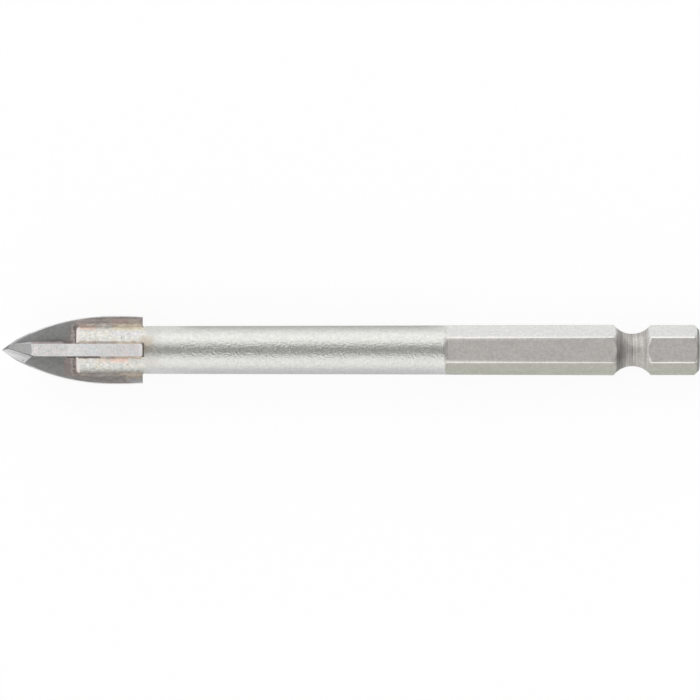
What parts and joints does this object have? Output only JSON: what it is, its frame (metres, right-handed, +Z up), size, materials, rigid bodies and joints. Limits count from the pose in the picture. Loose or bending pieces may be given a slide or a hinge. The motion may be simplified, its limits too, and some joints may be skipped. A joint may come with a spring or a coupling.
{
  "type": "glass and tile drill bit",
  "caption": "Glass and tile drill bit: crossed carbide blades ground to a spear point, brazed into a round steel shaft with a grooved hex drive end.",
  "frame": {"origin": "on the surface that the bit lies on, under the middle of its box", "axes": "+X along the bit from the tip to the end of the shank, dipping by 1.2 degrees as the bit lies; +Z up; the main blade lies level and the side blades stand up and down"},
  "size_m": [0.1, 0.0098, 0.0098],
  "materials": {
    "satin_steel": "satin blasted and turned tool steel, bare",
    "cemented_carbide": "dark grey cemented carbide, matte as sintered, with pale ground edges and facets",
    "braze_alloy": "dull brown and coppery braze alloy with heat tint"
  },
  "bodies": {
    "root": {"shank": "satin_steel", "main_blade": "cemented_carbide", "side_blade_upper": "cemented_carbide", "side_blade_lower": "cemented_carbide", "braze": "braze_alloy"}
  },
  "joints": []
}
